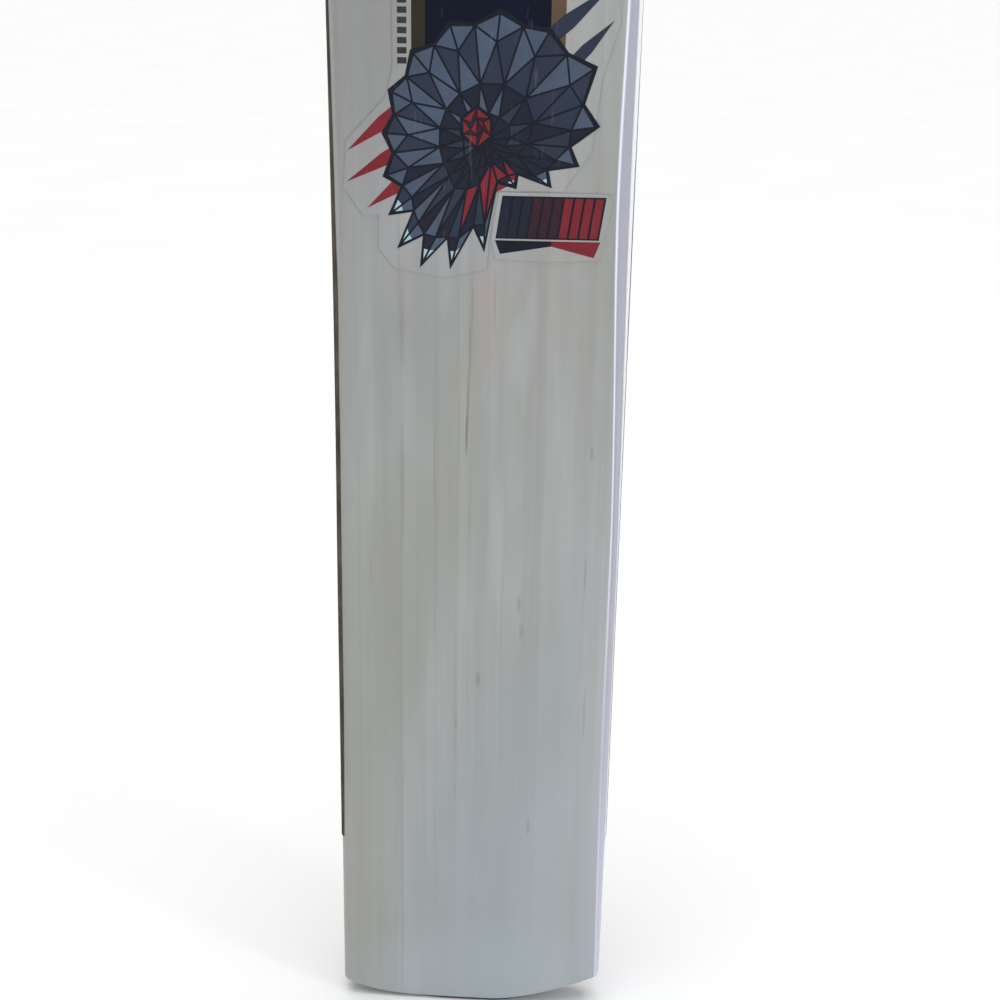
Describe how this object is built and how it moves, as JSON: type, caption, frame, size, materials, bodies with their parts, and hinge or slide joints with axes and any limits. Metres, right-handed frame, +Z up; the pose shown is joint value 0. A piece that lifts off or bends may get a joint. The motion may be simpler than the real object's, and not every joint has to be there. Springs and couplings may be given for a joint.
{
  "type": "cricket bat",
  "caption": "Full-size short-handle cricket bat: willow blade with a ridged back and curved toe, spliced cane handle with rubber springs, twine binding and rubber grip.",
  "frame": {"origin": "middle of the small flat that the toe rests on", "axes": "+Z up the bat from toe to handle, -Y out of the hitting face, +X to the right of someone facing the hitting face"},
  "size_m": [0.109, 0.0665, 0.856],
  "materials": {
    "willow": "sanded and oiled, satin",
    "cane": "planed, matt",
    "spring_rubber": "matt",
    "guard_rubber": "matt, scuffed",
    "waxed_twine": "waxed thread, wound",
    "grip_rubber": "matt, ribbed",
    "printed_film": "printed clear film, semi-gloss",
    "edge_film": "printed film, semi-gloss"
  },
  "bodies": {
    "root": {"blade": "willow", "toe_guard": "guard_rubber", "cane_front_left": "cane", "cane_front_centre": "cane", "cane_front_right": "cane", "cane_inner_front_left": "cane", "cane_inner_front_centre": "cane", "cane_inner_front_right": "cane", "cane_inner_rear_left": "cane", "cane_inner_rear_centre": "cane", "cane_inner_rear_right": "cane", "cane_rear_left": "cane", "cane_rear_centre": "cane", "cane_rear_right": "cane", "rubber_spring_front": "spring_rubber", "rubber_spring_middle": "spring_rubber", "rubber_spring_rear": "spring_rubber", "handle_twine": "waxed_twine", "grip": "grip_rubber", "face_sticker": "printed_film", "lower_sticker": "printed_film", "back_sticker": "printed_film", "edge_sticker_left": "edge_film", "edge_sticker_right": "edge_film"}
  },
  "joints": []
}
